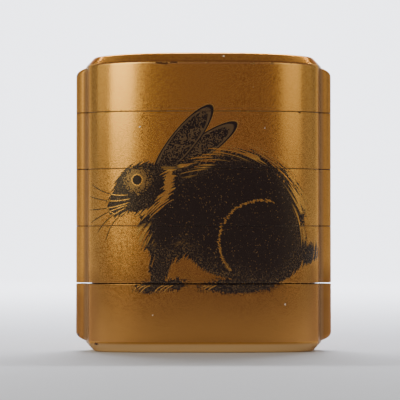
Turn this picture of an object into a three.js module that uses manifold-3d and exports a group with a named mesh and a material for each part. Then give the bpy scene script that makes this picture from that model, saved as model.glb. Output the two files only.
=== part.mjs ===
// An inro: a flat Japanese carrying case of stacked lacquered trays under a lid.
// Each tray has a riser round its mouth that slips into the socket under the piece above,
// and a flat duct down each narrow side takes the carrying cord.
// Units are millimetres, +Z is up, the front faces -Y, and the origin is the middle of the underside.

import * as THREE from "three";
import { mergeVertices } from "three/addons/utils/BufferGeometryUtils.js";
import Module from "manifold-3d";

const wasm = await Module();
wasm.setup();

// Plan of the body, a superellipse: exponent 2 is an ellipse, and a higher one is squarer.
const bodyWidth = 60.4;
const bodyDepth = 24;
const planExponent = 3;

// Pitch of each piece of the stack, counted from seam to seam.
const bottomCaseHeight = 17.5;
const middleCaseHeight = 14.4;
const lidHeight = 15.3;
const middleCaseNames = ["third_case", "second_case", "first_case"];
const seamGap = 0.3;

// Walls, floors and the fit of a riser in the socket above it.
const outerWall = 1.3;
const riserWall = 0.9;
const slipFit = 0.25;
const socketDepth = 4.5;
const trayFloor = 1.2;
const bottomFloor = 2;
const lidCeiling = 2.2;

// Bevels round the top and the underside, and the crown of the lid.
const bevelInset = 2.3;
const bevelHeight = 2.4;
const crownAlongWidth = 1;
const crownAlongDepth = 0.4;
const crownWidthExponent = 3;
const crownDepthExponent = 2;

// Cord duct down each narrow side, and the flat hole through it. The handles of the curve that ends
// a duct are shares of the end's own height and reach.
const ductReach = 2.35;
const ductDepth = 9.2;
const ductCornerRadius = 1.5;
const ductShoulder = 2.3;
const ductEndDrop = 0.5;
const ductEndReach = 0.25;
const ductEndRise = 0.3;
const ductRoot = 3;
const cordHoleWidth = 2.1;
const cordHoleDepth = 5.2;
const cordHoleOuterWall = 0.85;

// Fineness of the facets, how near two corners are one, and how far a cutter runs past the face it cuts.
const quarterSteps = 22;
const crownRings = 4;
const arcSegments = 6;
const mergeDistance = 1e-4;
const cutOverrun = 1;

const riserHeight = socketDepth + seamGap;
const riserInset = outerWall + slipFit;
const cavityInset = riserInset + riserWall;
const ductOuterX = bodyWidth / 2 + ductReach;

const goldLacquer = { color: 0xa8752f, roughness: 0.36, metalness: 0.85 };

// Power that keeps the sign of its base.
function signedPower(base, exponent) {
  return Math.sign(base) * Math.abs(base) ** exponent;
}

// Outline of the body moved inwards by inset. Each point is found from the direction of its normal,
// which turns slowly over the flat front, back and ends, so that the points are spread evenly.
function planOutline(inset) {
  const a = bodyWidth / 2;
  const b = bodyDepth / 2;
  const dual = planExponent / (planExponent - 1);
  const points = [];
  for (let i = 0; i < 4 * quarterSteps; i += 1) {
    const quarter = Math.floor(i / quarterSteps);
    const share = THREE.MathUtils.smoothstep((i % quarterSteps) / quarterSteps, 0, 1);
    const turn = (share * Math.PI) / 2;
    const normal = new THREE.Vector2(Math.cos(turn), Math.sin(turn));
    for (let n = 0; n < quarter; n += 1) normal.set(-normal.y, normal.x);
    const size = (Math.abs(a * normal.x) ** dual + Math.abs(b * normal.y) ** dual) ** (1 / planExponent);
    const x = (a * signedPower(a * normal.x, dual - 1)) / size;
    const y = (b * signedPower(b * normal.y, dual - 1)) / size;
    points.push(new THREE.Vector2(x, y).addScaledVector(normal, -inset));
  }
  return points;
}

// Closed mesh through a stack of rings of equal point counts, with a flat fan over each end.
function loft(rings) {
  const count = rings[0].length;
  const vertices = rings.flat();
  const index = [];
  for (let r = 0; r + 1 < rings.length; r += 1) {
    for (let i = 0; i < count; i += 1) {
      const j = (i + 1) % count;
      const low = r * count;
      const high = low + count;
      index.push(low + i, low + j, high + j, low + i, high + j, high + i);
    }
  }
  for (const [ring, outward] of [[0, -1], [rings.length - 1, 1]]) {
    const middle = new THREE.Vector3();
    rings[ring].forEach((p) => middle.addScaledVector(p, 1 / count));
    const hub = vertices.push(middle) - 1;
    for (let i = 0; i < count; i += 1) {
      const here = ring * count + i;
      const next = ring * count + ((i + 1) % count);
      index.push(...(outward > 0 ? [hub, here, next] : [hub, next, here]));
    }
  }
  const geometry = new THREE.BufferGeometry().setFromPoints(vertices);
  geometry.setIndex(index);
  return geometry;
}

// Ring of the loft at one height, or at the height that a function of x and y gives.
function ring(outline, height) {
  const heightAt = typeof height === "function" ? height : () => height;
  return outline.map((p) => new THREE.Vector3(p.x, p.y, heightAt(p.x, p.y)));
}

// Closed geometry as a solid that can be joined and cut.
function solid(geometry) {
  const bare = geometry.clone();
  bare.deleteAttribute("normal");
  bare.deleteAttribute("uv");
  const merged = mergeVertices(bare, mergeDistance);
  return new wasm.Manifold(
    new wasm.Mesh({
      numProp: 3,
      vertProperties: new Float32Array(merged.attributes.position.array),
      triVerts: new Uint32Array(merged.index.array),
    }),
  );
}

// Upright prism over an outline, from one height to another.
function prism(outline, low, high) {
  const options = { depth: high - low, bevelEnabled: false, curveSegments: arcSegments };
  const geometry = new THREE.ExtrudeGeometry(outline, options);
  return solid(geometry.translate(0, 0, low));
}

// Straight-sided body over the plan of the case.
function bodyPrism(inset, low, high) {
  return prism(new THREE.Shape(planOutline(inset)), low, high);
}

// Section of the right-hand duct, from inside the body's end wall to its rounded outer corners.
function ductSection() {
  const root = bodyWidth / 2 - ductRoot;
  const half = ductDepth / 2;
  const radius = ductCornerRadius;
  const section = new THREE.Shape();
  section.moveTo(root, -half);
  section.lineTo(ductOuterX - radius, -half);
  section.absarc(ductOuterX - radius, radius - half, radius, -Math.PI / 2, 0);
  section.absarc(ductOuterX - radius, half - radius, radius, 0, Math.PI / 2);
  section.lineTo(root, half);
  section.closePath();
  return section;
}

// Side view of a duct that starts flat at height 0 and ends at shoulderHeight in a curve,
// which leaves the bevel of the body at its own slope and turns down into the duct's outer face.
function ductSideView(shoulderHeight) {
  const root = bodyWidth / 2 - ductRoot;
  const wall = bodyWidth / 2;
  const view = new THREE.Shape();
  view.moveTo(root, 0);
  view.lineTo(ductOuterX, 0);
  view.lineTo(ductOuterX, shoulderHeight - ductShoulder);
  view.bezierCurveTo(
    ductOuterX, shoulderHeight - ductEndDrop * ductShoulder,
    wall + ductEndReach * ductReach, shoulderHeight - ductEndRise * ductShoulder,
    wall, shoulderHeight,
  );
  view.lineTo(root, shoulderHeight);
  view.closePath();
  return view;
}

// Right-hand duct of a piece: straight, or with its far end curved off at shoulderHeight.
function duct(height, shoulderHeight) {
  const straight = prism(ductSection(), 0, shoulderHeight ?? height);
  if (shoulderHeight === undefined) return straight;
  const options = { depth: ductDepth + 2 * cutOverrun, bevelEnabled: false, curveSegments: 2 * arcSegments };
  const view = new THREE.ExtrudeGeometry(ductSideView(shoulderHeight), options);
  view.rotateX(Math.PI / 2).translate(0, ductDepth / 2 + cutOverrun, 0);
  return straight.intersect(solid(view));
}

// Flat hole for the cord through the right-hand duct, longer than any piece is high.
function cordHole(height) {
  const radius = cordHoleWidth / 2;
  const x = ductOuterX - cordHoleOuterWall - radius;
  const reach = cordHoleDepth / 2 - radius;
  const outline = new THREE.Shape();
  outline.moveTo(x + radius, -reach);
  outline.lineTo(x + radius, reach);
  outline.absarc(x, reach, radius, 0, Math.PI);
  outline.absarc(x, -reach, radius, Math.PI, 2 * Math.PI);
  return prism(outline, -cutOverrun, height + cutOverrun);
}

// Body with both ducts joined on and both cord holes cut through.
function withDucts(body, height, shoulderHeight) {
  const right = duct(height, shoulderHeight);
  const hole = cordHole(height);
  return body
    .add(right)
    .add(right.mirror([1, 0, 0]))
    .subtract(hole)
    .subtract(hole.mirror([1, 0, 0]));
}

// Piece with a riser added on its upper edge and its tray hollowed down to floorTop.
function withTray(piece, edgeHeight, floorTop) {
  const riser = bodyPrism(riserInset, edgeHeight - riserWall, edgeHeight + riserHeight);
  const hollow = bodyPrism(cavityInset, floorTop, edgeHeight + riserHeight + cutOverrun);
  return piece.add(riser).subtract(hollow);
}

// Socket under a piece, into which the riser of the piece below slips.
function socket() {
  return bodyPrism(outerWall, -cutOverrun, socketDepth);
}

// Lowest piece: bevelled round its underside, closed below, with a riser on top.
function bottomCase() {
  const height = bottomCaseHeight - seamGap;
  const body = solid(
    loft([
      ring(planOutline(bevelInset), 0),
      ring(planOutline(0), bevelHeight),
      ring(planOutline(0), height),
    ]),
  );
  const upsideDown = withDucts(
    body.mirror([0, 0, 1]).translate([0, 0, height]),
    height,
    height - bevelHeight,
  );
  const piece = upsideDown.mirror([0, 0, 1]).translate([0, 0, height]);
  return withTray(piece, height, bottomFloor);
}

// Middle piece: a socket below its floor, a tray above it and a riser on top.
function middleCase() {
  const height = middleCaseHeight - seamGap;
  const piece = withDucts(bodyPrism(0, 0, height), height);
  return withTray(piece, height, socketDepth + trayFloor).subtract(socket());
}

// Lid: a crowned and bevelled cap, hollow below, with a ledge that the top riser meets.
function lid() {
  const rim = planOutline(bevelInset);
  const rimX = bodyWidth / 2 - bevelInset;
  const rimY = bodyDepth / 2 - bevelInset;
  const crown = (x, y) => {
    const sideFall = crownAlongWidth * Math.abs(x / rimX) ** crownWidthExponent;
    const frontFall = crownAlongDepth * Math.abs(y / rimY) ** crownDepthExponent;
    return lidHeight - sideFall - frontFall;
  };
  const rings = [ring(planOutline(0), 0)];
  rings.push(rim.map((p, i) => {
    const wall = planOutline(0)[i];
    return new THREE.Vector3(wall.x, wall.y, crown(p.x, p.y) - bevelHeight);
  }));
  for (let step = crownRings; step > 0; step -= 1) {
    const share = step / crownRings;
    rings.push(ring(rim.map((p) => p.clone().multiplyScalar(share)), crown));
  }
  const shoulderHeight = lidHeight - crownAlongWidth - bevelHeight;
  return withDucts(solid(loft(rings)), lidHeight, shoulderHeight)
    .subtract(bodyPrism(cavityInset, socketDepth - cutOverrun, lidHeight - crownAlongWidth - lidCeiling))
    .subtract(socket());
}

// Named mesh of a finished solid, set at its height in the stack.
function place(name, shape, height) {
  const { vertProperties, triVerts } = shape.getMesh();
  const indexed = new THREE.BufferGeometry();
  indexed.setAttribute("position", new THREE.BufferAttribute(vertProperties, 3));
  indexed.setIndex(new THREE.BufferAttribute(triVerts, 1));
  const geometry = indexed.toNonIndexed();
  geometry.computeVertexNormals();
  const mesh = new THREE.Mesh(geometry, new THREE.MeshStandardMaterial(goldLacquer));
  mesh.name = name;
  mesh.position.z = height;
  return mesh;
}

const inro = new THREE.Group();
inro.add(place("bottom_case", bottomCase(), 0));
middleCaseNames.forEach((name, i) => {
  inro.add(place(name, middleCase(), bottomCaseHeight + i * middleCaseHeight));
});
inro.add(place("lid", lid(), bottomCaseHeight + middleCaseNames.length * middleCaseHeight));

export default inro;
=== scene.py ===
# Looks of a lacquered inro: five stacked pieces in gold lacquer with a black and gold picture.
# Sizes are in metres, +Z is up, the decorated front faces -Y, and every piece stays where the frame has it.
import math

import bmesh
import bpy
from bpy.props import FloatProperty, FloatVectorProperty, IntProperty, PointerProperty
from bpy.types import Operator, Panel, PropertyGroup
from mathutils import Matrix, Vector


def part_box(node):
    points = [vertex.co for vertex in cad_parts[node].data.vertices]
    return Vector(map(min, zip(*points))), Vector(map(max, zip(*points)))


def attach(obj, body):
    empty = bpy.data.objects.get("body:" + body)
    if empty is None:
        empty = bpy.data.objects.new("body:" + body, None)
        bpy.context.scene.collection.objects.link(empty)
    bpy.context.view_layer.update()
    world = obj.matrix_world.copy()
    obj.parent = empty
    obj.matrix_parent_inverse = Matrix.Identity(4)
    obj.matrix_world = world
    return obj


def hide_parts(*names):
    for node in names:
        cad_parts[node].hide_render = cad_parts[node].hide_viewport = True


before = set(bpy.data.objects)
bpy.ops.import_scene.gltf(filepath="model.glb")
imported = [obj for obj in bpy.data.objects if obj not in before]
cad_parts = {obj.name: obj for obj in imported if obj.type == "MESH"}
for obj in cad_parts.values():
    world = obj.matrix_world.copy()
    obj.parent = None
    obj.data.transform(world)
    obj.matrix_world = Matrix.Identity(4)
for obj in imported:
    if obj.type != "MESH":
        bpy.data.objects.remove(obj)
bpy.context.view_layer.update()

bl_info = {
    "name": "Lacquered inro",
    "version": (1, 0, 0),
    "blender": (4, 5, 0),
    "location": "3D View > Sidebar > Inro",
    "description": "Builds the stacked pieces of a gold lacquer inro, their finish and a small studio",
    "category": "Object",
}

MM = 0.001
STACK_BODY = "root"
MIDDLE_CASES = ("third_case", "second_case", "first_case")
STACK = ("bottom_case", *MIDDLE_CASES, "lid")

# How near two heights count as one, how near two points are merged, and how far a cutter overruns.
TOUCH = 0.02 * MM
MERGE = 0.003 * MM
OVERRUN = 1 * MM


class CaseSizes(PropertyGroup):
    """Sizes that all pieces of the stack share."""
    plan_exponent: FloatProperty(name="Plan squareness", default=3.0, min=2.0, max=8.0,
                                 description="Exponent of the oval plan: 2 is an ellipse, more is squarer")
    plan_points: IntProperty(name="Plan points", default=256, min=32,
                             description="Points round the oval plan")
    low_seam_gap: FloatProperty(name="Lowest seam gap", default=0.3 * MM, unit="LENGTH",
                                description="Gap at the lowest seam, which stands a little open")
    seam_gap: FloatProperty(name="Seam gap", default=0.05 * MM, unit="LENGTH",
                            description="Gap at every seam but the lowest")
    outer_wall: FloatProperty(name="Outer wall", default=1.3 * MM, unit="LENGTH",
                              description="Wall round the socket under a piece")
    slip_fit: FloatProperty(name="Slip fit", default=0.25 * MM, unit="LENGTH",
                            description="Room between a riser and its socket")
    riser_wall: FloatProperty(name="Riser wall", default=0.9 * MM, unit="LENGTH",
                              description="Thickness of the riser round a tray")
    socket_depth: FloatProperty(name="Socket depth", default=4.5 * MM, unit="LENGTH",
                                description="Height of the socket that takes a riser")
    tray_floor: FloatProperty(name="Tray floor", default=1.2 * MM, unit="LENGTH",
                              description="Floor between a tray and the socket under it")
    bottom_floor: FloatProperty(name="Bottom floor", default=2 * MM, unit="LENGTH",
                                description="Thickness of the lowest floor")
    lid_ceiling: FloatProperty(name="Lid ceiling", default=2.2 * MM, unit="LENGTH",
                               description="Thickness of the lid over its hollow, at its ends")
    bevel_inset: FloatProperty(name="Bevel inset", default=2.3 * MM, unit="LENGTH",
                               description="Width of the bevels round the top and the underside")
    bevel_height: FloatProperty(name="Bevel height", default=2.4 * MM, unit="LENGTH",
                                description="Height of the bevels round the top and the underside")
    arris_radius: FloatProperty(name="Arris radius", default=0.45 * MM, unit="LENGTH",
                                description="Rounding of the corners of the bevels")
    edge_radius: FloatProperty(name="Edge radius", default=0.1 * MM, unit="LENGTH",
                               description="Rounding that the lacquer leaves on every other edge")
    crown_along_width: FloatProperty(name="Crown along width", default=1 * MM, unit="LENGTH",
                                     description="Fall of the lid from its middle to its ends")
    crown_along_depth: FloatProperty(name="Crown along depth", default=0.4 * MM, unit="LENGTH",
                                     description="Fall of the lid from its middle to its front")
    crown_rings: IntProperty(name="Crown rings", default=12, min=3,
                             description="Rings of faces over the crown of the lid")


class DuctSizes(PropertyGroup):
    """Sizes of the cord duct down each narrow side."""
    reach: FloatProperty(name="Reach", default=2.35 * MM, unit="LENGTH",
                         description="How far a duct stands out from the end wall")
    depth: FloatProperty(name="Depth", default=9.2 * MM, unit="LENGTH",
                         description="Size of a duct from front to back")
    root: FloatProperty(name="Root", default=0.95 * MM, unit="LENGTH",
                        description="How far a duct runs into the end wall")
    corner_radius: FloatProperty(name="Corner radius", default=2.3 * MM, unit="LENGTH",
                                 description="Rounding of the upright corners of a duct")
    end_radius: FloatProperty(name="End radius", default=1.4 * MM, unit="LENGTH",
                              description="Rounding round the sloping ends of a duct")
    end_fall: FloatProperty(name="End fall", default=1.5 * MM, unit="LENGTH",
                            description="Fall of a duct's sloping end from the wall to its outer face")
    hole_width: FloatProperty(name="Hole width", default=2.1 * MM, unit="LENGTH",
                              description="Width of the flat cord hole")
    hole_depth: FloatProperty(name="Hole depth", default=5.2 * MM, unit="LENGTH",
                              description="Size of the cord hole from front to back")
    hole_wall: FloatProperty(name="Hole wall", default=0.85 * MM, unit="LENGTH",
                             description="Wall between the cord hole and the outer face")


class LacquerColours(PropertyGroup):
    """Colours and gloss of the finish."""
    gold: FloatVectorProperty(name="Gold", subtype="COLOR", size=3, min=0, max=1, default=(0.9, 0.45, 0.1),
                              description="Sprinkled gold ground")
    gold_deep: FloatVectorProperty(name="Deep gold", subtype="COLOR", size=3, min=0, max=1,
                                   default=(0.75, 0.36, 0.072),
                                   description="Gold between the brighter grains")
    gold_roughness: FloatProperty(name="Gold roughness", default=0.22, min=0, max=1,
                                  description="Roughness of the gold ground")
    black_roughness: FloatProperty(name="Black roughness", default=0.22, min=0, max=1,
                                   description="Roughness of the polished black")
    black: FloatVectorProperty(name="Black", subtype="COLOR", size=3, min=0, max=1,
                               default=(0.012, 0.009, 0.008), description="Polished black lacquer")
    # Also the colour of the painted shade along the seams.
    under_coat_and_seam_shade: FloatVectorProperty(name="Under coat", subtype="COLOR", size=3, min=0, max=1,
                                    default=(0.06, 0.018, 0.01),
                                    description="Dark red-brown lacquer where the gold has worn off")


class StudioSettings(PropertyGroup):
    """Floor, lights and camera."""
    floor_colour: FloatVectorProperty(name="Floor", subtype="COLOR", size=3, min=0, max=1,
                                      default=(0.68, 0.7, 0.76), description="Pale floor and backdrop")
    left_power: FloatProperty(name="Left light", default=1.45, min=0, unit="POWER",
                              description="Power of the large soft light on the left")
    right_power: FloatProperty(name="Right light", default=0.38, min=0, unit="POWER",
                               description="Power of the soft light on the right")
    fill_power: FloatProperty(name="Fill lights", default=0.28, min=0, unit="POWER",
                              description="Power of the weaker light beside each soft light")
    backdrop_power: FloatProperty(name="Backdrop light", default=48.0, min=0, unit="POWER",
                                  description="Power of the light over the backdrop, behind the case")
    room_strength: FloatProperty(name="Room light", default=1.0, min=0,
                                 description="Strength of the light from the room")
    camera_distance: FloatProperty(name="Camera distance", default=492 * MM, unit="LENGTH",
                                   description="Distance of the camera from the middle of the case")
    camera_height: FloatProperty(name="Camera height", default=27.86 * MM, unit="LENGTH",
                                 description="Height of the camera over the floor")
    lens: FloatProperty(name="Lens", default=172.5, min=1, unit="CAMERA",
                        description="Focal length on a sensor 36 mm wide")


def deselect_all():
    """Leaves nothing selected, so that the next operator acts only on what is picked for it."""
    for each in bpy.context.selected_objects:
        each.select_set(False)


def open_for_edit(piece, kind):
    """Puts a piece in edit mode with nothing selected, ready to pick its faces or edges."""
    deselect_all()
    piece.select_set(True)
    bpy.context.view_layer.objects.active = piece
    bpy.ops.object.mode_set(mode="EDIT")
    bpy.ops.mesh.select_mode(type=kind)
    bpy.ops.mesh.select_all(action="DESELECT")


def close_edit():
    """Leaves edit mode."""
    bpy.ops.object.mode_set(mode="OBJECT")


def pick(piece, kind, test):
    """Selects the faces or edges of the piece in edit mode that pass a test, and nothing else."""
    bpy.ops.mesh.select_mode(type=kind)
    bpy.ops.mesh.select_all(action="DESELECT")
    mesh = bmesh.from_edit_mesh(piece.data)
    for element in mesh.faces if kind == "FACE" else mesh.edges:
        if test(element):
            element.select_set(True)
    bmesh.update_edit_mesh(piece.data)


def level_face(height):
    """Test for the level faces at one height."""
    return lambda face: abs(face.normal.z) > 0.99 and abs(face.calc_center_median().z - height) < TOUCH


def level_edge(height):
    """Test for the edges that lie at one height."""
    return lambda edge: all(abs(vertex.co.z - height) < TOUCH for vertex in edge.verts)


def inset(thickness, rise=0):
    """Insets the selected face and lifts the inner one along its normal."""
    bpy.ops.mesh.inset(thickness=thickness, depth=rise, use_even_offset=True)


def extrude(rise):
    """Extrudes the selected face straight up, or down where rise is negative."""
    bpy.ops.mesh.extrude_region_move(TRANSFORM_OT_translate={"value": (0, 0, rise)})


def signed_power(base, exponent):
    """Power that keeps the sign of its base."""
    return math.copysign(abs(base) ** exponent, base)


def case_sizes():
    """Shared sizes of the stack."""
    return bpy.context.scene.inro_case


def duct_sizes():
    """Sizes of the cord ducts."""
    return bpy.context.scene.inro_duct


def body_half_width():
    """Half width of the case without its ducts, from the box of the lid."""
    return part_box("lid")[1].x - duct_sizes().reach


def body_half_depth():
    """Half depth of the case, from the box of the lid."""
    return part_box("lid")[1].y


def gap_over(node):
    """Gap between a piece and the one that stands on it."""
    return case_sizes().low_seam_gap if node == "bottom_case" else case_sizes().seam_gap


def rim_height(node):
    """Height of a piece's upper rim: a seam gap below the piece that stands on it."""
    above = STACK[STACK.index(node) + 1]
    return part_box(above)[0].z - gap_over(node)


def crease_place():
    """Where the side of a duct meets the curved wall, as x and y in millimetres."""
    exponent = case_sizes().plan_exponent
    y = duct_sizes().depth / 2
    x = body_half_width() * (1 - (y / body_half_depth()) ** exponent) ** (1 / exponent)
    return x / MM, y / MM


def seam_levels():
    """Heights of the middles of the seams, in millimetres."""
    return [(rim_height(node) + gap_over(node) / 2) / MM for node in STACK[:-1]]


def plan_face(name, height):
    """Adds the oval plan of the case as one flat face at a height."""
    deselect_all()
    bpy.ops.mesh.primitive_circle_add(vertices=case_sizes().plan_points, radius=1, fill_type="NGON")
    piece = bpy.context.active_object
    piece.name = name
    piece.data.name = name
    half_width = body_half_width()
    half_depth = body_half_depth()
    share = 2 / case_sizes().plan_exponent
    for vertex in piece.data.vertices:
        turn = math.atan2(vertex.co.y, vertex.co.x)
        x = half_width * signed_power(math.cos(turn), share)
        y = half_depth * signed_power(math.sin(turn), share)
        vertex.co = (x, y, height)
    return piece


def raise_walls(piece, low, high):
    """Extrudes the plan face at the low height up to the high one, as a closed block."""
    open_for_edit(piece, "FACE")
    pick(piece, "FACE", level_face(low))
    extrude(high - low)
    bpy.ops.mesh.select_all(action="SELECT")
    bpy.ops.mesh.normals_make_consistent(inside=False)


def round_edges(piece, test, radius, segments):
    """Rounds the edges that pass a test."""
    pick(piece, "EDGE", test)
    bpy.ops.mesh.bevel(offset=radius, segments=segments, profile=0.5, affect="EDGES", clamp_overlap=True)


def sink_tray(piece, rim, floor, gap):
    """Raises the riser on the rim and sinks the tray inside it down to the floor."""
    sizes = case_sizes()
    riser_height = sizes.socket_depth + gap
    pick(piece, "FACE", level_face(rim))
    inset(sizes.outer_wall + sizes.slip_fit)
    extrude(riser_height)
    inset(sizes.riser_wall)
    extrude(floor - rim - riser_height)


def sink_socket(piece, low):
    """Sinks the socket into the underside of a piece and leaves its ceiling selected."""
    pick(piece, "FACE", level_face(low))
    inset(case_sizes().outer_wall)
    extrude(case_sizes().socket_depth)


def duct_pair(low, high, sloping_ends):
    """Blocks of both ducts. A sloping end is its height at the wall and the way it faces, 1 up or -1 down."""
    sizes = duct_sizes()
    inner = body_half_width() - sizes.root
    outer = body_half_width() + sizes.reach
    blocks = []
    for side in (-1, 1):
        deselect_all()
        bpy.ops.mesh.primitive_cube_add(size=1, location=(side * (inner + outer) / 2, 0, (low + high) / 2))
        block = bpy.context.active_object
        block.scale = (outer - inner, sizes.depth, high - low)
        bpy.ops.object.transform_apply(location=True, rotation=True, scale=True)
        open_for_edit(block, "EDGE")
        for end, way in sloping_ends:
            pick(block, "EDGE", lambda edge: all(
                abs(v.co.z - end) < TOUCH and v.co.x * side > outer - TOUCH for v in edge.verts))
            bpy.ops.transform.translate(value=(0, 0, -way * sizes.end_fall))
        round_edges(block, lambda edge: edge_height(edge) > OVERRUN and on_outer_face(edge, outer),
                    sizes.corner_radius, 10)
        for end, way in sloping_ends:
            round_edges(block, lambda edge: is_sharp(edge) and all(
                abs(v.co.z - end) < sizes.end_fall + TOUCH for v in edge.verts), sizes.end_radius, 6)
        soften_edges(block)
        blocks.append(block)
    return join(blocks)


def edge_height(edge):
    """Difference in height between the ends of an edge."""
    return abs(edge.verts[0].co.z - edge.verts[1].co.z)


def on_outer_face(edge, outer):
    """Whether an edge lies on the outer face of a duct."""
    return all(abs(vertex.co.x) > outer - TOUCH for vertex in edge.verts)


def cord_holes(low, high):
    """Cutters of both cord holes."""
    sizes = duct_sizes()
    radius = sizes.hole_width / 2
    middle = body_half_width() + sizes.reach - sizes.hole_wall - radius
    holes = []
    for side in (-1, 1):
        deselect_all()
        bpy.ops.mesh.primitive_cube_add(size=1, location=(side * middle, 0, (low + high) / 2))
        hole = bpy.context.active_object
        hole.scale = (sizes.hole_width, sizes.hole_depth, high - low + 2 * OVERRUN)
        bpy.ops.object.transform_apply(location=True, rotation=True, scale=True)
        open_for_edit(hole, "EDGE")
        round_edges(hole, lambda edge: edge_height(edge) > OVERRUN, radius - TOUCH, 8)
        close_edit()
        holes.append(hole)
    return join(holes)


def join(pieces):
    """Joins pieces into the first one."""
    deselect_all()
    for piece in pieces:
        piece.select_set(True)
    bpy.context.view_layer.objects.active = pieces[0]
    bpy.ops.object.join()
    return pieces[0]


def combine(piece, other, operation):
    """Applies a boolean with another mesh and removes that mesh."""
    deselect_all()
    piece.select_set(True)
    bpy.context.view_layer.objects.active = piece
    cut = piece.modifiers.new(operation.title(), "BOOLEAN")
    cut.operation = operation
    cut.solver = "EXACT"
    cut.object = other
    bpy.ops.object.modifier_apply(modifier=cut.name)
    bpy.data.meshes.remove(other.data)
    open_for_edit(piece, "VERT")
    bpy.ops.mesh.select_all(action="SELECT")
    bpy.ops.mesh.remove_doubles(threshold=MERGE)
    close_edit()


def is_sharp(edge):
    """Whether two faces meet at an edge that the lacquer would soften."""
    return edge.is_manifold and edge.calc_face_angle(0) > math.radians(40)


def soften_edges(piece):
    """Rounds the edges that are still sharp and leaves edit mode."""
    round_edges(piece, is_sharp, case_sizes().edge_radius, 2)
    close_edit()


def finish_piece(piece, node):
    """Shades the piece and puts it in the node's place."""
    deselect_all()
    piece.select_set(True)
    bpy.context.view_layer.objects.active = piece
    bpy.ops.object.shade_smooth_by_angle(angle=math.radians(35))
    weigh = piece.modifiers.new("Weighted normals", "WEIGHTED_NORMAL")
    weigh.keep_sharp = True
    bpy.ops.object.modifier_apply(modifier=weigh.name)
    paint_piece(piece, node)
    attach(piece, STACK_BODY)
    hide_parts(node)


class Sheet:
    """Short ways to add nodes to a material or to a node group."""

    def __init__(self, tree):
        self.tree = tree

    def add(self, kind, **settings):
        node = self.tree.nodes.new(kind)
        for name, value in settings.items():
            setattr(node, name, value)
        return node

    def feed(self, socket, value):
        if isinstance(value, bpy.types.NodeSocket):
            self.tree.links.new(value, socket)
        elif value is not None:
            socket.default_value = value

    def math(self, operation, *values, clamp=False):
        node = self.add("ShaderNodeMath", operation=operation, use_clamp=clamp)
        for socket, value in zip(node.inputs, values):
            self.feed(socket, value)
        return node.outputs[0]

    def times(self, value, factor):
        return self.math("MULTIPLY", value, factor)

    def plus(self, value, other):
        return self.math("ADD", value, other)

    def minus(self, value, other):
        return self.math("SUBTRACT", value, other)

    def highest(self, *values):
        top = values[0]
        for value in values[1:]:
            top = self.math("MAXIMUM", top, value)
        return top

    def vector(self, operation, *values, scale=None):
        node = self.add("ShaderNodeVectorMath", operation=operation)
        for socket, value in zip(node.inputs, values):
            self.feed(socket, value)
        if scale is not None:
            self.feed(node.inputs["Scale"], scale)
        gives_number = operation in ("LENGTH", "DOT_PRODUCT")
        return node.outputs["Value" if gives_number else "Vector"]

    def split(self, vector):
        node = self.add("ShaderNodeSeparateXYZ")
        self.feed(node.inputs[0], vector)
        return node.outputs

    def combine(self, x, y, z):
        node = self.add("ShaderNodeCombineXYZ")
        for socket, value in zip(node.inputs, (x, y, z)):
            self.feed(socket, value)
        return node.outputs[0]

    def noise(self, vector, scale, detail=2.0, output="Fac"):
        node = self.add("ShaderNodeTexNoise")
        self.feed(node.inputs["Vector"], vector)
        self.feed(node.inputs["Scale"], scale)
        self.feed(node.inputs["Detail"], detail)
        return node.outputs[output]

    def mix(self, share, low, high, kind="RGBA"):
        node = self.add("ShaderNodeMix", data_type=kind)
        start = {"FLOAT": 2, "VECTOR": 4, "RGBA": 6}[kind]
        sockets = (node.inputs[0], node.inputs[start], node.inputs[start + 1])
        for socket, value in zip(sockets, (share, low, high)):
            if kind == "RGBA" and isinstance(value, (tuple, list)) and len(value) == 3:
                value = (*value, 1)
            self.feed(socket, value)
        return node.outputs[{"FLOAT": 0, "VECTOR": 1, "RGBA": 2}[kind]]

    def ramp(self, value, start, end, low=0.0, high=1.0):
        """Smooth change from low to high while the value goes from start to end."""
        node = self.add("ShaderNodeMapRange", interpolation_type="SMOOTHSTEP")
        for socket, number in zip(node.inputs, (value, start, end, low, high)):
            self.feed(socket, number)
        return node.outputs[0]

    def use(self, group, **inputs):
        """Adds a node group and returns its outputs by name."""
        node = self.add("ShaderNodeGroup", node_tree=group)
        for name, value in inputs.items():
            self.feed(node.inputs[name.replace("_", " ").capitalize()], value)
        return node.outputs


def new_group(name, inputs, outputs):
    """Empty effect group with named sockets, as a sheet with its input and output nodes."""
    tree = bpy.data.node_groups.new(name, "ShaderNodeTree")
    for title, default in inputs.items():
        kind = {float: "Float", tuple: "Color"}.get(type(default), "Vector")
        socket = tree.interface.new_socket(title, in_out="INPUT", socket_type="NodeSocket" + kind)
        if default is not None:
            socket.default_value = default
    for title in outputs:
        kind = "Color" if title == "Colour" else "Float"
        tree.interface.new_socket(title, in_out="OUTPUT", socket_type="NodeSocket" + kind)
    sheet = Sheet(tree)
    return sheet, sheet.add("NodeGroupInput").outputs, sheet.add("NodeGroupOutput").inputs


def grain_group():
    """Grains of metal powder: a tone, and a height for the bump."""
    sheet, given, result = new_group(
        "Powder grain", {"Position": None, "Grains per mm": 3.0, "Wave size": 9.0}, ("Tone", "Height"))
    fine = sheet.noise(given["Position"], given["Grains per mm"], detail=1.0)
    wave = sheet.noise(given["Position"], sheet.math("DIVIDE", 1.0, given["Wave size"]), detail=1.0)
    sheet.feed(result["Tone"], sheet.ramp(fine, 0.32, 0.6))
    sheet.feed(result["Height"], sheet.plus(sheet.times(fine, 0.004), sheet.times(wave, 0.02)))
    return sheet.tree


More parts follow.
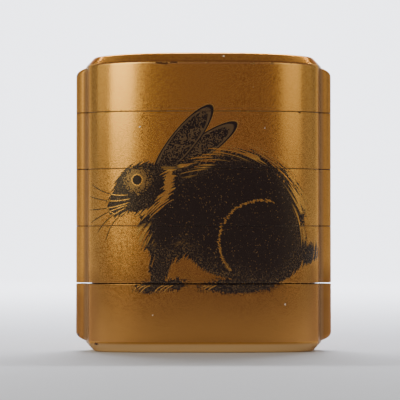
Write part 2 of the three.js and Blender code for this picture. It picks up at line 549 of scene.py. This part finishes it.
def age_and_light_group():
    """Masks of wear and of painted light, with heights and distances in millimetres.

    Painted shade darkens the gold towards the bottom, on the upper bevel and on the ducts; a painted
    reflection of the floor lightens the lower bevel, and a painted highlight line runs along the upper arris.
    The edges are rubbed, and the ducts handled, which only makes them rougher. Painted shade also lies as a
    thin dark line along each seam, and as a brown band down both sides of each duct where it meets the wall.
    """
    sheet, given, result = new_group(
        "Age", {"Spot": None}, ("Painted shade", "Painted highlight", "Rubbed", "Painted seam shade", "Painted crease shade", "Handled"))
    place = sheet.split(given["Spot"])
    height = place["Z"]
    aside = sheet.math("ABSOLUTE", place["X"])
    duct = sheet.ramp(aside, 29.6, 30.4)
    sheet.feed(result["Handled"], duct)

    # Painted shade: the gold darkens towards the bottom, unevenly and more at the ends.
    cloud = sheet.minus(sheet.noise(given["Spot"], 0.15, detail=2.0), 0.5)
    uneven = sheet.plus(height, sheet.times(cloud, 14.0))
    foot = sheet.times(sheet.ramp(uneven, 36.0, 12.0), sheet.ramp(height, 2.0, 3.0))
    foot = sheet.times(foot, sheet.ramp(aside, 25.0, 28.5, 0.72, 1.0))
    # Painted shade on the upper bevel, strongest at its ends, and half as much over the ducts.
    bevel = sheet.times(sheet.ramp(height, 72.9, 73.1), sheet.ramp(height, 75.3, 75.0))
    bevel = sheet.times(bevel, sheet.ramp(aside, 22.0, 26.0, 0.4, 1.0))
    sheet.feed(result["Painted shade"], sheet.highest(foot, bevel, sheet.times(duct, 0.5)))
    # Painted reflection of the floor on the lower bevel, and a faint painted highlight line along the upper
    # arris.
    off_arris = sheet.math("ABSOLUTE", sheet.minus(height, ARRIS_LEVEL))
    arris = sheet.ramp(off_arris, 0.3, 0.1, 0.0, 0.2)
    sheet.feed(result["Painted highlight"], sheet.highest(sheet.ramp(height, 2.5, 1.8), arris))

    off_seams = [sheet.math("ABSOLUTE", sheet.minus(height, level)) for level in seam_levels()]
    # Painted shade: a thin dark line along each seam.
    sheet.feed(result["Painted seam shade"], sheet.highest(*(sheet.ramp(off, 0.2, 0.08) for off in off_seams)))
    lines = sheet.highest(*(sheet.ramp(off, 0.45, 0.1) for off in (*off_seams, off_arris)))
    patches = sheet.ramp(sheet.noise(given["Spot"], 0.9, detail=3.0), 0.63, 0.7)
    sheet.feed(result["Rubbed"], sheet.times(lines, patches))

    # Painted shade: a brown band down both sides of each duct, where it meets the curved wall.
    crease_x, crease_y = crease_place()
    off_wall = sheet.math("ABSOLUTE", sheet.minus(aside, crease_x))
    off_duct = sheet.math("ABSOLUTE", sheet.minus(sheet.math("ABSOLUTE", place["Y"]), crease_y))
    crease_shade = sheet.times(sheet.ramp(off_wall, 1.2, 0.2), sheet.ramp(off_duct, 1.8, 0.4))
    sheet.feed(result["Painted crease shade"], crease_shade)
    return sheet.tree


def mark_group():
    """Single marks, made with the picture's ovals: dark chips in the lacquer and pale specks on it."""
    sheet, given, result = new_group("Marks", {"Spot": None}, ("Chips", "Specks"))
    oval_tree = bpy.data.node_groups["Oval"]
    ragged = sheet.times(sheet.minus(sheet.noise(given["Spot"], 3.0, detail=2.0), 0.5), 0.9)
    for title, marks in (("Chips", CHIPS), ("Specks", SPECKS)):
        masks = []
        for x, z, radius_x, radius_z in marks:
            oval = sheet.use(oval_tree, spot=given["Spot"], middle=(x, 0, z), radii=(radius_x, 1, radius_z))
            masks.append(sheet.ramp(sheet.plus(oval["Distance"], ragged), 0.08, -0.08))
        front = sheet.ramp(sheet.split(given["Spot"])["Y"], 0.1, -0.1)
        sheet.feed(result[title], sheet.times(sheet.highest(*masks), front))
    return sheet.tree


def principled(name):
    """New material, with a sheet on its nodes and its shader."""
    material = bpy.data.materials.new(name)
    material.use_nodes = True
    return material, Sheet(material.node_tree), material.node_tree.nodes["Principled BSDF"].inputs


def oval_group():
    """Distance from the rim of a turned oval, in millimetres and negative inside it."""
    sheet, given, result = new_group("Oval", {"Spot": None, "Middle": None, "Radii": None, "Turn": 0.0},
                                     ("Distance",))
    flat = sheet.vector("MULTIPLY", given["Spot"], (1, 0, 1))
    turned = sheet.add("ShaderNodeMapping", vector_type="TEXTURE")
    sheet.feed(turned.inputs["Vector"], flat)
    sheet.feed(turned.inputs["Location"], given["Middle"])
    sheet.feed(turned.inputs["Rotation"], sheet.combine(0.0, sheet.times(given["Turn"], -1.0), 0.0))
    sheet.feed(turned.inputs["Scale"], given["Radii"])
    radii = sheet.split(given["Radii"])
    smaller = sheet.math("MINIMUM", radii["X"], radii["Z"])
    reach = sheet.minus(sheet.vector("LENGTH", turned.outputs[0]), 1.0)
    sheet.feed(result["Distance"], sheet.times(reach, smaller))
    return sheet.tree


def stroke_group():
    """Bowed brush stroke that runs out to points, as a mask."""
    sheet, given, result = new_group("Brush stroke", {"Spot": None, "Start": None, "End": None, "Bow": 0.0,
                                                      "Width": 0.2}, ("Mask",))
    flat = sheet.vector("MULTIPLY", given["Spot"], (1, 0, 1))
    run = sheet.vector("SUBTRACT", given["End"], given["Start"])
    away = sheet.vector("SUBTRACT", flat, given["Start"])
    length = sheet.vector("LENGTH", run)
    along = sheet.math("DIVIDE", sheet.vector("DOT_PRODUCT", away, run), sheet.times(length, length))
    turned = sheet.split(sheet.vector("CROSS_PRODUCT", run, away))["Y"]
    aside = sheet.math("DIVIDE", sheet.times(turned, -1.0), length)
    left = sheet.minus(1.0, along)
    bow = sheet.times(sheet.times(sheet.times(along, left), 4.0), given["Bow"])
    tip = sheet.math("DIVIDE", sheet.math("MINIMUM", along, left), 0.15, clamp=True)
    width = sheet.times(sheet.math("SQRT", tip), sheet.times(given["Width"], 0.5))
    over = sheet.minus(sheet.math("ABSOLUTE", sheet.minus(aside, bow)), width)
    on_run = sheet.math("GREATER_THAN", tip, 0.001)
    sheet.feed(result["Mask"], sheet.times(sheet.ramp(over, 0.05, -0.05), on_run))
    return sheet.tree


def fur_group():
    """Hair that lies round a middle, as long and short strands and as fine dots."""
    sheet, given, result = new_group("Fur", {"Spot": None, "Middle": None, "Lay": 0.28},
                                     ("Long hair", "Short hair", "Dots"))
    away = sheet.vector("SUBTRACT", sheet.vector("MULTIPLY", given["Spot"], (1, 0, 1)), given["Middle"])
    parts = sheet.split(away)
    along = sheet.times(sheet.math("ARCTAN2", parts["X"], parts["Z"]), 20.0)
    across = sheet.plus(sheet.vector("LENGTH", away), sheet.times(along, given["Lay"]))
    noises = {"Dots": sheet.noise(given["Spot"], 3.05, detail=0.0)}
    for title, length, width in (("Long hair", 7.0, 0.46), ("Short hair", 2.0, 0.3)):
        strand = sheet.combine(sheet.math("DIVIDE", along, length), sheet.math("DIVIDE", across, width), 0.0)
        noises[title] = sheet.noise(strand, 1.0, detail=0.0)
    for title, noise in noises.items():
        sheet.feed(result[title], sheet.times(sheet.minus(noise, 0.5), 1.8))
    return sheet.tree


class Painting:
    """Colour and metal of a picture as it grows, layer by layer."""

    def __init__(self, sheet, spot, colour):
        self.sheet = sheet
        self.spot = spot
        self.colour = colour
        self.metal = 1.0
        self.oval_tree = oval_group()
        self.stroke_tree = stroke_group()

    def oval(self, x, z, radius_x, radius_z, turn):
        return self.sheet.use(self.oval_tree, spot=self.spot, middle=(x, 0, z), radii=(radius_x, 1, radius_z),
                              turn=math.radians(turn))["Distance"]

    def blend(self, table):
        """Smooth union of ovals, each given with the width over which it blends in."""
        whole = None
        for *oval, width in table:
            part = self.oval(*oval)
            whole = part if whole is None else self.sheet.math("SMOOTH_MIN", whole, part, width)
        return whole

    def stroke(self, start, end, bow, width):
        return self.sheet.use(self.stroke_tree, spot=self.spot, start=(start[0], 0, start[1]),
                              end=(end[0], 0, end[1]), bow=bow, width=width)["Mask"]

    def lay(self, mask, colour, metal):
        self.colour = self.sheet.mix(mask, self.colour, colour)
        self.metal = self.sheet.mix(mask, self.metal, metal, kind="FLOAT")


# Height of the upper arris, and single marks on the front as x, z and radii, all in millimetres.
ARRIS_LEVEL = 72.75
CHIPS = ((-27, 2.1, 0.45, 0.35), (-32.3, 70.6, 0.3, 0.6), (-31.9, 4.2, 0.3, 0.5), (-10.5, 72.75, 1.9, 0.3),
         (-7.4, 72.9, 0.7, 0.24), (18.5, 17.1, 0.5, 0.2), (24.2, 60.4, 0.35, 0.2))
SPECKS = ((-16, 56.7, 0.12, 0.12), (15.4, 56.4, 0.12, 0.12), (5, 74.6, 0.25, 0.15), (12.5, 66.8, 0.12, 0.12),
          (20.4, 12.2, 0.13, 0.13), (-12.8, 9.5, 0.12, 0.12))

# The hare, in millimetres on the front. An oval has its middle x and z, its radii and its turn in degrees,
# and in the trunk, head and feet the width of its blend. A whisker has its root, tip and bow, a toe its x.
HARE_TRUNK = (
    (8.5, 36.5, 18, 17, -3, 0.01),
    (-6, 38, 12, 10.5, 10, 6),
    (-11, 43, 6.5, 7, 0, 5),
    (-10.5, 32, 6.8, 8, 0, 4),
    (15, 29.5, 12.3, 11.5, -12, 3),
    (-12.2, 23.5, 2.9, 7.2, -8, 2),
    (27, 26.5, 3.2, 2.9, 35, 1.2),
)
HARE_HEAD = (
    (-17.4, 43.4, 7.6, 6.2, 34, 0.01),
    (-22.6, 39.4, 4.1, 3.3, 42, 3),
)
HARE_FEET = (
    (9, 18.2, 10, 2.1, 2, 0.01),
    (-14.6, 17.8, 3.9, 1.6, 6, 1),
    (-8.4, 18.4, 3.4, 1.45, 6, 1),
)
HARE_EARS = ((-1.6, 53.2, 12, 2.9, 34), (-6, 55.2, 12, 3.3, 50))
HARE_THIGH = (15, 29, 11.6, 10.8, -12)
HARE_COLLAR = (-18.4, 44.4, 9, 8, 34)
HARE_EYE = (-18.2, 45.2)
HARE_MOUTH = ((-26, 37.6), (-23.4, 36.7))
WHISKERS = (
    ((-20.6, 41.4), (-30.4, 44.2), 1.1),
    ((-20, 40.4), (-31.2, 41.2), 0.9),
    ((-20.2, 39.5), (-31.4, 37.6), 0.5),
    ((-20.8, 38.7), (-30.8, 34.2), -0.5),
    ((-21.2, 38), (-29, 31.4), -0.9),
    ((-21, 37.2), (-26.6, 29.4), -1.1),
)
TOES = (-17.6, -16.4, -15.2, -11.6, -10.4, -9.2, -0.4, 0.9, 2.2)


def hare_group():
    """Picture of a crouching hare in black and gold, for the front of the case."""
    inputs = {"Spot": None, "Ground": (0.9, 0.4, 0.085, 1.0), "Ink": (0.012, 0.009, 0.008, 1.0),
              "Tan": (0.17, 0.11, 0.055, 1.0), "Line gold": (0.98, 0.53, 0.115, 1.0)}
    sheet, given, result = new_group("Hare picture", inputs, ("Colour", "Metal"))
    paint = Painting(sheet, given["Spot"], given["Ground"])
    ink, tan, gold = given["Ink"], given["Tan"], given["Line gold"]
    fur = sheet.use(fur_group(), spot=given["Spot"], middle=(6, 0, 24))
    long_hair, short_hair, dots = fur["Long hair"], fur["Short hair"], fur["Dots"]
    place = sheet.split(given["Spot"])
    head = paint.blend(HARE_HEAD)
    feet = paint.blend(HARE_FEET)
    body = sheet.math("SMOOTH_MIN", paint.blend(HARE_TRUNK), head, 2.0)

    # Hair reaches far over the contour on the back, and little round the head and the feet.
    calm = sheet.ramp(sheet.math("MINIMUM", head, sheet.plus(feet, 2.0)), 0.5, 5.0, 0.3, 1.0)
    calm = sheet.times(calm, sheet.ramp(place["Z"], 22.0, 34.0, 0.3, 1.0))
    hair = sheet.plus(sheet.times(long_hair, 3.6), sheet.times(short_hair, 1.2))
    reach = sheet.times(sheet.plus(hair, sheet.times(dots, 1.4)), calm)
    coat = sheet.ramp(sheet.plus(sheet.plus(body, reach), 0.3), 0.15, -0.15)
    black = sheet.highest(coat, sheet.ramp(sheet.plus(feet, sheet.times(dots, 1.2)), 0.1, -0.1))

    for ear in HARE_EARS:
        rim = paint.oval(*ear)
        inner = sheet.plus(rim, 0.35)
        stipple = sheet.plus(dots, sheet.ramp(inner, -2.4, 0.0, 0.02, 0.2))
        paint.lay(sheet.ramp(rim, 0.1, -0.1), ink, 0.0)
        paint.lay(sheet.ramp(inner, 0.1, -0.1), tan, 0.5)
        speck = sheet.times(sheet.ramp(inner, -0.2, -0.4), sheet.math("GREATER_THAN", stipple, 0.02))
        paint.lay(speck, ink, 0.0)
    paint.lay(black, ink, 0.0)
    powder = sheet.times(sheet.ramp(dots, 0.02, 0.16), sheet.ramp(body, -6.0, -1.0, 0.0, 0.38))
    paint.lay(sheet.times(powder, black), tan, 0.2)
    rim_hair = sheet.times(sheet.ramp(long_hair, -0.1, -0.2), sheet.ramp(body, -3.6, -1.5))
    paint.lay(sheet.times(sheet.times(rim_hair, black), sheet.ramp(calm, 0.6, 1.0)), gold, 1.0)

    # Gold hair lines part the thigh from the trunk, and a combed gold collar the head.
    thigh = sheet.math("ABSOLUTE", sheet.plus(paint.oval(*HARE_THIGH), sheet.times(long_hair, 0.8)))
    thigh_part = sheet.times(sheet.ramp(place["Z"], 21.8, 22.2), sheet.ramp(place["X"], 18.2, 17.8))
    strands = sheet.times(thigh_part, sheet.math("GREATER_THAN", short_hair, -0.2))
    paint.lay(sheet.times(sheet.times(sheet.ramp(thigh, 0.3, 0.1), strands), black), gold, 1.0)
    combed = sheet.plus(sheet.times(long_hair, 2.0), short_hair)
    collar = sheet.math("ABSOLUTE", sheet.plus(paint.oval(*HARE_COLLAR), combed))
    collar_part = sheet.times(sheet.ramp(place["X"], -20.5, -18.0), sheet.ramp(place["Z"], 49.0, 47.0))
    collar = sheet.minus(collar, sheet.ramp(place["X"], -19.0, -10.0, 0.0, 0.75))
    paint.lay(sheet.times(sheet.times(sheet.ramp(collar, 0.5, 0.2), collar_part), black), gold, 1.0)

    # The eye: a soft brown halo, a thin gold ring and a dark pupil.
    eye_x, eye_z = HARE_EYE
    eye = sheet.plus(paint.oval(eye_x, eye_z, 1, 1, 0), 1.0)
    halo = sheet.ramp(sheet.plus(dots, sheet.ramp(eye, 4.8, 1.6, -0.5, 0.3)), -0.1, 0.15)
    paint.lay(sheet.times(halo, black), sheet.mix(0.25, tan, gold), 0.7)
    paint.lay(sheet.ramp(eye, 1.6, 1.45), gold, 1.0)
    paint.lay(sheet.ramp(eye, 1.3, 1.18), ink, 0.0)

    # Lines are gold over the black and dark over the gold ground.
    whiskers = sheet.highest(*(paint.stroke(root, tip, bow, 0.24) for root, tip, bow in WHISKERS))
    toes = [paint.stroke((x - 2, 16.4), (x + 0.6, 18.2), 0.35, 0.22) for x in TOES]
    mouth = paint.stroke(*HARE_MOUTH, -0.4, 0.2)
    bare = sheet.minus(1.0, black)
    paint.lay(sheet.times(sheet.highest(whiskers, *toes), bare), ink, 0.0)
    paint.lay(sheet.times(sheet.highest(whiskers, mouth, *toes), black), gold, 1.0)

    front = sheet.ramp(place["Y"], 0.1, -0.1)
    sheet.feed(result["Colour"], sheet.mix(front, given["Ground"], paint.colour))
    sheet.feed(result["Metal"], sheet.mix(front, 1.0, paint.metal, kind="FLOAT"))
    return sheet.tree


# Colours of the painted shade, the painted highlight and the painted brown shade beside the ducts, of the
# specks and of the inside, and how far the drawing is moved, in millimetres, and stretched.
SHADE_PAINT_GOLD = (0.33, 0.145, 0.038)
HIGHLIGHT_PAINT_GOLD = (1.0, 0.75, 0.45)
CREASE_SHADE_BROWN = (0.34, 0.2, 0.1)
SPECK_CREAM = (0.8, 0.74, 0.6)
INSIDE_RED_BROWN = (0.035, 0.009, 0.005)
INSIDE_GOLD = (0.6, 0.33, 0.1)
DRAWING_SHIFT = (0.6, 0, -0.9)
DRAWING_STRETCH = (0.95, 1, 0.98)


def lacquer_material():
    """Gold lacquer ground with the picture."""
    colours = bpy.context.scene.inro_colours
    material, sheet, shader = principled("Gold lacquer")
    place = sheet.add("ShaderNodeTexCoord").outputs["Object"]
    spot = sheet.vector("SCALE", place, scale=1 / MM)
    grain = sheet.use(grain_group(), position=spot)
    age_and_light = sheet.use(age_and_light_group(), spot=spot)
    ground = sheet.mix(grain["Tone"], tuple(colours.gold_deep), tuple(colours.gold))
    # Painted shade darkens the gold, and painted highlights pale it.
    ground = sheet.mix(age_and_light["Painted shade"], ground, SHADE_PAINT_GOLD)
    # Painted reflection and painted highlight lighten the gold.
    ground = sheet.mix(sheet.times(age_and_light["Painted highlight"], 0.8), ground, HIGHLIGHT_PAINT_GOLD)
    drawing = sheet.vector("DIVIDE", sheet.vector("SUBTRACT", spot, DRAWING_SHIFT), DRAWING_STRETCH)
    picture = sheet.use(hare_group(), spot=drawing, ground=ground, ink=(*colours.black, 1))
    marks = sheet.use(mark_group(), spot=spot)
    rubbed = sheet.times(age_and_light["Rubbed"], 0.7)
    # Painted shade along the seams, over the gold only, joins the chips and rubbed wear in the under coat
    # colour.
    seam_shade = sheet.times(age_and_light["Painted seam shade"], sheet.ramp(picture["Metal"], 0.0, 0.8, 0.0, 0.8))
    wear_and_seam_shade = sheet.highest(marks["Chips"], rubbed, seam_shade)
    # Painted shade in brown, without metal, down both sides of each duct.
    crease_shade = sheet.times(age_and_light["Painted crease shade"], 0.9)
    colour = sheet.mix(crease_shade, picture["Colour"], CREASE_SHADE_BROWN)
    colour = sheet.mix(wear_and_seam_shade, colour, tuple(colours.under_coat_and_seam_shade))
    sheet.feed(shader["Base Color"], sheet.mix(marks["Specks"], colour, SPECK_CREAM))
    covered = sheet.minus(1.0, sheet.highest(wear_and_seam_shade, marks["Specks"], crease_shade))
    sheet.feed(shader["Metallic"], sheet.times(picture["Metal"], covered))
    powder_roughness = sheet.plus(sheet.times(grain["Tone"], 0.06), colours.gold_roughness - 0.03)
    powder_roughness = sheet.plus(powder_roughness, sheet.times(age_and_light["Handled"], 0.2))
    sheet.feed(shader["Roughness"], sheet.mix(picture["Metal"], colours.black_roughness, powder_roughness,
                                              kind="FLOAT"))
    bump = sheet.add("ShaderNodeBump")
    bump.inputs["Distance"].default_value = 1 * MM
    sheet.feed(bump.inputs["Height"], grain["Height"])
    sheet.feed(shader["Normal"], bump.outputs[0])
    shader["IOR"].default_value = 1.65
    shader["Specular Tint"].default_value = (0.6, 0.38, 0.2, 1)
    sheet.feed(shader["Coat Weight"], sheet.mix(picture["Metal"], 0.7, 0.2, kind="FLOAT"))
    shader["Coat Roughness"].default_value = 0.2
    return material


def inside_material():
    """Dark lacquer inside the trays, with a few grains of gold."""
    material, sheet, shader = principled("Inside lacquer")
    place = sheet.add("ShaderNodeTexCoord").outputs["Object"]
    spot = sheet.vector("SCALE", place, scale=1 / MM)
    flakes = sheet.ramp(sheet.noise(spot, 2.6, detail=1.0), 0.6, 0.66)
    sheet.feed(shader["Base Color"], sheet.mix(flakes, INSIDE_RED_BROWN, INSIDE_GOLD))
    sheet.feed(shader["Metallic"], flakes)
    shader["Roughness"].default_value = 0.3
    return material


def paint_piece(piece, node):
    """Gives the piece the gold lacquer outside and the dark lacquer inside."""
    for name, make in (("Gold lacquer", lacquer_material), ("Inside lacquer", inside_material)):
        piece.data.materials.append(bpy.data.materials.get(name) or make())
    low, high = (corner.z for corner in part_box(node))
    exponent = case_sizes().plan_exponent
    reach_x = body_half_width() - 0.5 * case_sizes().outer_wall
    reach_y = body_half_depth() - 0.5 * case_sizes().outer_wall
    for face in piece.data.polygons:
        x, y, z = face.center
        enclosed = abs(x / reach_x) ** exponent + abs(y / reach_y) ** exponent < 1
        underside = node == "bottom_case" and z < case_sizes().bevel_height
        crown = node == "lid" and z > high - case_sizes().crown_along_width - case_sizes().bevel_height
        hollow = face.normal.z < -0.5
        if enclosed and not (underside and hollow) and not (crown and not hollow):
            face.material_index = 1


class INRO_OT_bottom_case(Operator):
    """Build the lowest case, bevelled round its flat underside"""
    bl_idname = "inro.bottom_case"
    bl_label = "Bottom case"

    def execute(self, context):
        sizes = case_sizes()
        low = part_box("bottom_case")[0].z
        rim = rim_height("bottom_case")
        arris = low + sizes.bevel_height
        piece = plan_face("bottom_case_lacquer", arris)
        raise_walls(piece, arris, rim)
        pick(piece, "FACE", level_face(arris))
        inset(sizes.bevel_inset, rise=sizes.bevel_height)
        round_edges(piece, lambda edge: level_edge(arris)(edge) or level_edge(low)(edge),
                    sizes.arris_radius, 4)
        sink_tray(piece, rim, low + sizes.bottom_floor, gap_over("bottom_case"))
        soften_edges(piece)
        combine(piece, duct_pair(arris, rim, [(arris, -1)]), "UNION")
        combine(piece, cord_holes(low, rim), "DIFFERENCE")
        finish_piece(piece, "bottom_case")
        return {"FINISHED"}


class INRO_OT_middle_cases(Operator):
    """Build the three middle cases, each with a socket below and a tray above"""
    bl_idname = "inro.middle_cases"
    bl_label = "Middle cases"

    def execute(self, context):
        sizes = case_sizes()
        for node in MIDDLE_CASES:
            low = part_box(node)[0].z
            rim = rim_height(node)
            piece = plan_face(node + "_lacquer", low)
            raise_walls(piece, low, rim)
            sink_socket(piece, low)
            sink_tray(piece, rim, low + sizes.socket_depth + sizes.tray_floor, gap_over(node))
            soften_edges(piece)
            combine(piece, duct_pair(low, rim, []), "UNION")
            combine(piece, cord_holes(low, rim), "DIFFERENCE")
            finish_piece(piece, node)
        return {"FINISHED"}


class INRO_OT_lid(Operator):
    """Build the crowned and bevelled lid"""
    bl_idname = "inro.lid"
    bl_label = "Lid"

    def execute(self, context):
        sizes = case_sizes()
        low, high = (corner.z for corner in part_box("lid"))
        shoulder = high - sizes.crown_along_width - sizes.bevel_height
        piece = plan_face("lid_lacquer", low)
        raise_walls(piece, low, shoulder)
        sink_socket(piece, low)
        inset(sizes.slip_fit + sizes.riser_wall)
        extrude(high - sizes.crown_along_width - sizes.lid_ceiling - low - sizes.socket_depth)
        self.crown(piece, shoulder, high)
        soften_edges(piece)
        combine(piece, duct_pair(low, shoulder, [(shoulder, 1)]), "UNION")
        combine(piece, cord_holes(low, shoulder), "DIFFERENCE")
        finish_piece(piece, "lid")
        return {"FINISHED"}

    def crown(self, piece, shoulder, high):
        """Adds the bevel and the crowned top, and bends the arris along with the crown."""
        sizes = case_sizes()
        half_width = body_half_width()
        half_depth = body_half_depth()
        rim_x = half_width - sizes.bevel_inset
        rim_y = half_depth - sizes.bevel_inset

        def crown_height(x, y):
            side_fall = sizes.crown_along_width * abs(x / rim_x) ** 3
            front_fall = sizes.crown_along_depth * abs(y / rim_y) ** 2
            return high - side_fall - front_fall

        pick(piece, "FACE", level_face(shoulder))
        inset(sizes.bevel_inset, rise=sizes.bevel_height)
        for ring in range(sizes.crown_rings, 1, -1):
            share = (ring - 1) / ring
            bpy.ops.mesh.extrude_region_move()
            bpy.ops.transform.resize(value=(share, share, 1), center_override=(0, 0, shoulder))
        bpy.ops.mesh.poke()
        mesh = bmesh.from_edit_mesh(piece.data)
        for vertex in mesh.verts:
            if vertex.co.z > shoulder + TOUCH:
                vertex.co.z = crown_height(vertex.co.x, vertex.co.y)
            elif vertex.co.z > shoulder - TOUCH:
                inner_x = vertex.co.x * rim_x / half_width
                inner_y = vertex.co.y * rim_y / half_depth
                vertex.co.z = crown_height(inner_x, inner_y) - sizes.bevel_height
        bmesh.update_edit_mesh(piece.data)
        round_edges(piece, lambda edge: self.is_arris(edge, shoulder), sizes.arris_radius, 4)

    def is_arris(self, edge, shoulder):
        """Whether an edge is on the upper or the lower corner of the bevel."""
        high_enough = all(vertex.co.z > shoulder - OVERRUN for vertex in edge.verts)
        return high_enough and edge.calc_face_angle(0) > math.radians(20)


# Soft lights as name, power setting, share of that power, turn and lift in degrees, and size in metres.
SOFTBOXES = (
    ("Left light", "left_power", 1, -32, 24, (0.28, 0.46)),
    ("Right light", "right_power", 1, 39, 22, (0.28, 0.42)),
    ("Left fill", "fill_power", 1, -59, 24, (0.32, 0.46)),
    ("Right fill", "fill_power", 0.2, 66, 22, (0.34, 0.42)),
)
SOFTBOX_AWAY = 0.66
SOFTBOX_AIM = Vector((0, 0, 0.04))
SOFTBOX_CREAM = (1, 0.98, 0.64)
BACKDROP_LIGHT_PLACE = Vector((0, 0.5, 0.8))
BACKDROP_LIGHT_AIM = Vector((0, 1.15, 0.15))
BACKDROP_LIGHT_SIZE = (0.9, 0.3)
ROOM_FRONT = (0.17, 0.125, 0.16)
ROOM_SIDES = (0.25, 0.255, 0.3)
ROOM_BACK = (0.7, 0.7, 0.7)
SWEEP_FRONT = -0.16
SWEEP_BACK = 1.3
SWEEP_WIDTH = 3
SWEEP_HEIGHT = 1.6
SWEEP_CURVE = 0.4
CAMERA_ASIDE = -0.91 * MM
CAMERA_TILT = 91.25


class INRO_OT_studio(Operator):
    """Set the camera, the pale floor and the soft lights"""
    bl_idname = "inro.studio"
    bl_label = "Studio"

    def execute(self, context):
        settings = context.scene.inro_studio
        self.add_camera(context, settings)
        self.add_sweep(settings)
        for name, power, share, turn, lift, size in SOFTBOXES:
            self.add_softbox(name, getattr(settings, power) * share, turn, lift, size)
        self.add_backdrop_light(settings.backdrop_power)
        self.light_room(context, settings)
        return {"FINISHED"}

    def light_room(self, context, settings):
        """Dim room in front of the case, paler beside it and palest behind it."""
        world = context.scene.world or bpy.data.worlds.new("Studio")
        context.scene.world = world
        world.use_nodes = True
        sheet = Sheet(world.node_tree)
        heading = sheet.split(sheet.add("ShaderNodeTexCoord").outputs["Generated"])
        level = sheet.ramp(sheet.math("ABSOLUTE", heading["Z"]), 0.7, 0.3)
        beside = sheet.times(sheet.ramp(heading["Y"], -0.85, -0.3), level)
        behind = sheet.ramp(heading["Y"], 0.1, 0.5)
        room = sheet.mix(beside, ROOM_FRONT, ROOM_SIDES)
        background = world.node_tree.nodes["Background"].inputs
        sheet.feed(background["Color"], sheet.mix(behind, room, ROOM_BACK))
        background["Strength"].default_value = settings.room_strength

    def add_camera(self, context, settings):
        camera = bpy.data.cameras.new("Camera")
        camera.lens = settings.lens
        camera.sensor_width = 36
        camera.clip_start = 0.01
        holder = bpy.data.objects.new("Camera", camera)
        context.scene.collection.objects.link(holder)
        holder.location = (CAMERA_ASIDE, -settings.camera_distance, settings.camera_height)
        holder.rotation_euler = (math.radians(CAMERA_TILT), 0, 0)
        context.scene.camera = holder

    def add_sweep(self, settings):
        """Floor that curves up into the backdrop."""
        deselect_all()
        bpy.ops.mesh.primitive_plane_add(size=1, location=(0, (SWEEP_FRONT + SWEEP_BACK) / 2, 0))
        sweep = bpy.context.active_object
        sweep.name = "Sweep"
        sweep.scale = (SWEEP_WIDTH, SWEEP_BACK - SWEEP_FRONT, 1)
        bpy.ops.object.transform_apply(location=True, rotation=True, scale=True)
        open_for_edit(sweep, "EDGE")
        pick(sweep, "EDGE", lambda edge: all(v.co.y > SWEEP_BACK - TOUCH for v in edge.verts))
        bpy.ops.mesh.extrude_region_move(TRANSFORM_OT_translate={"value": (0, 0, SWEEP_HEIGHT)})
        round_edges(sweep, lambda edge: all(
            v.co.y > SWEEP_BACK - TOUCH and v.co.z < TOUCH for v in edge.verts), SWEEP_CURVE, 16)
        close_edit()
        bpy.ops.object.shade_smooth()
        paper, _, shader = principled("Pale paper")
        shader["Base Color"].default_value = (*settings.floor_colour, 1)
        shader["Roughness"].default_value = 0.9
        sweep.data.materials.append(paper)

    def add_softbox(self, name, power, turn, lift, size):
        """Soft light at a turn from the camera's side and a lift over the floor, aimed at the case."""
        turn = math.radians(turn)
        lift = math.radians(lift)
        out = Vector((math.sin(turn) * math.cos(lift), -math.cos(turn) * math.cos(lift), math.sin(lift)))
        place = SOFTBOX_AIM + out * SOFTBOX_AWAY
        self.add_area_light(name, power, place, SOFTBOX_AIM, size, SOFTBOX_CREAM)

    def add_backdrop_light(self, power):
        """Wide white light behind and above the case, aimed at the backdrop."""
        self.add_area_light("Backdrop light", power, BACKDROP_LIGHT_PLACE, BACKDROP_LIGHT_AIM,
                            BACKDROP_LIGHT_SIZE, (1, 1, 1))

    def add_area_light(self, name, power, place, aim, size, colour):
        light = bpy.data.lights.new(name, "AREA")
        light.shape = "RECTANGLE"
        light.size, light.size_y = size
        light.energy = power
        light.color = colour
        holder = bpy.data.objects.new(name, light)
        bpy.context.scene.collection.objects.link(holder)
        holder.location = place
        holder.rotation_euler = (aim - place).to_track_quat("-Z", "Y").to_euler()


class INRO_PT_panel(Panel):
    """Lists the pieces of the inro and its studio"""
    bl_label = "Inro"
    bl_idname = "INRO_PT_panel"
    bl_space_type = "VIEW_3D"
    bl_region_type = "UI"
    bl_category = "Inro"

    def draw(self, context):
        layout = self.layout
        for step in STEPS:
            layout.operator(step.bl_idname)
        for group in (context.scene.inro_case, context.scene.inro_duct, context.scene.inro_colours,
                      context.scene.inro_studio):
            box = layout.box()
            for name in group.bl_rna.properties.keys():
                if name not in ("rna_type", "name"):
                    box.prop(group, name)


GROUPS = {"inro_case": CaseSizes, "inro_duct": DuctSizes, "inro_colours": LacquerColours,
          "inro_studio": StudioSettings}
STEPS = (INRO_OT_bottom_case, INRO_OT_middle_cases, INRO_OT_lid, INRO_OT_studio)


def register():
    """Registers the settings, the operators and the panel."""
    for name, group in GROUPS.items():
        bpy.utils.register_class(group)
        setattr(bpy.types.Scene, name, PointerProperty(type=group))
    for item in (*STEPS, INRO_PT_panel):
        bpy.utils.register_class(item)


def unregister():
    """Removes what register added."""
    for item in reversed((*STEPS, INRO_PT_panel)):
        bpy.utils.unregister_class(item)
    for name, group in GROUPS.items():
        delattr(bpy.types.Scene, name)
        bpy.utils.unregister_class(group)


def main():
    """Builds everything."""
    register()
    bpy.ops.inro.bottom_case()
    bpy.ops.inro.middle_cases()
    bpy.ops.inro.lid()
    bpy.ops.inro.studio()


if __name__ == "__main__":
    main()
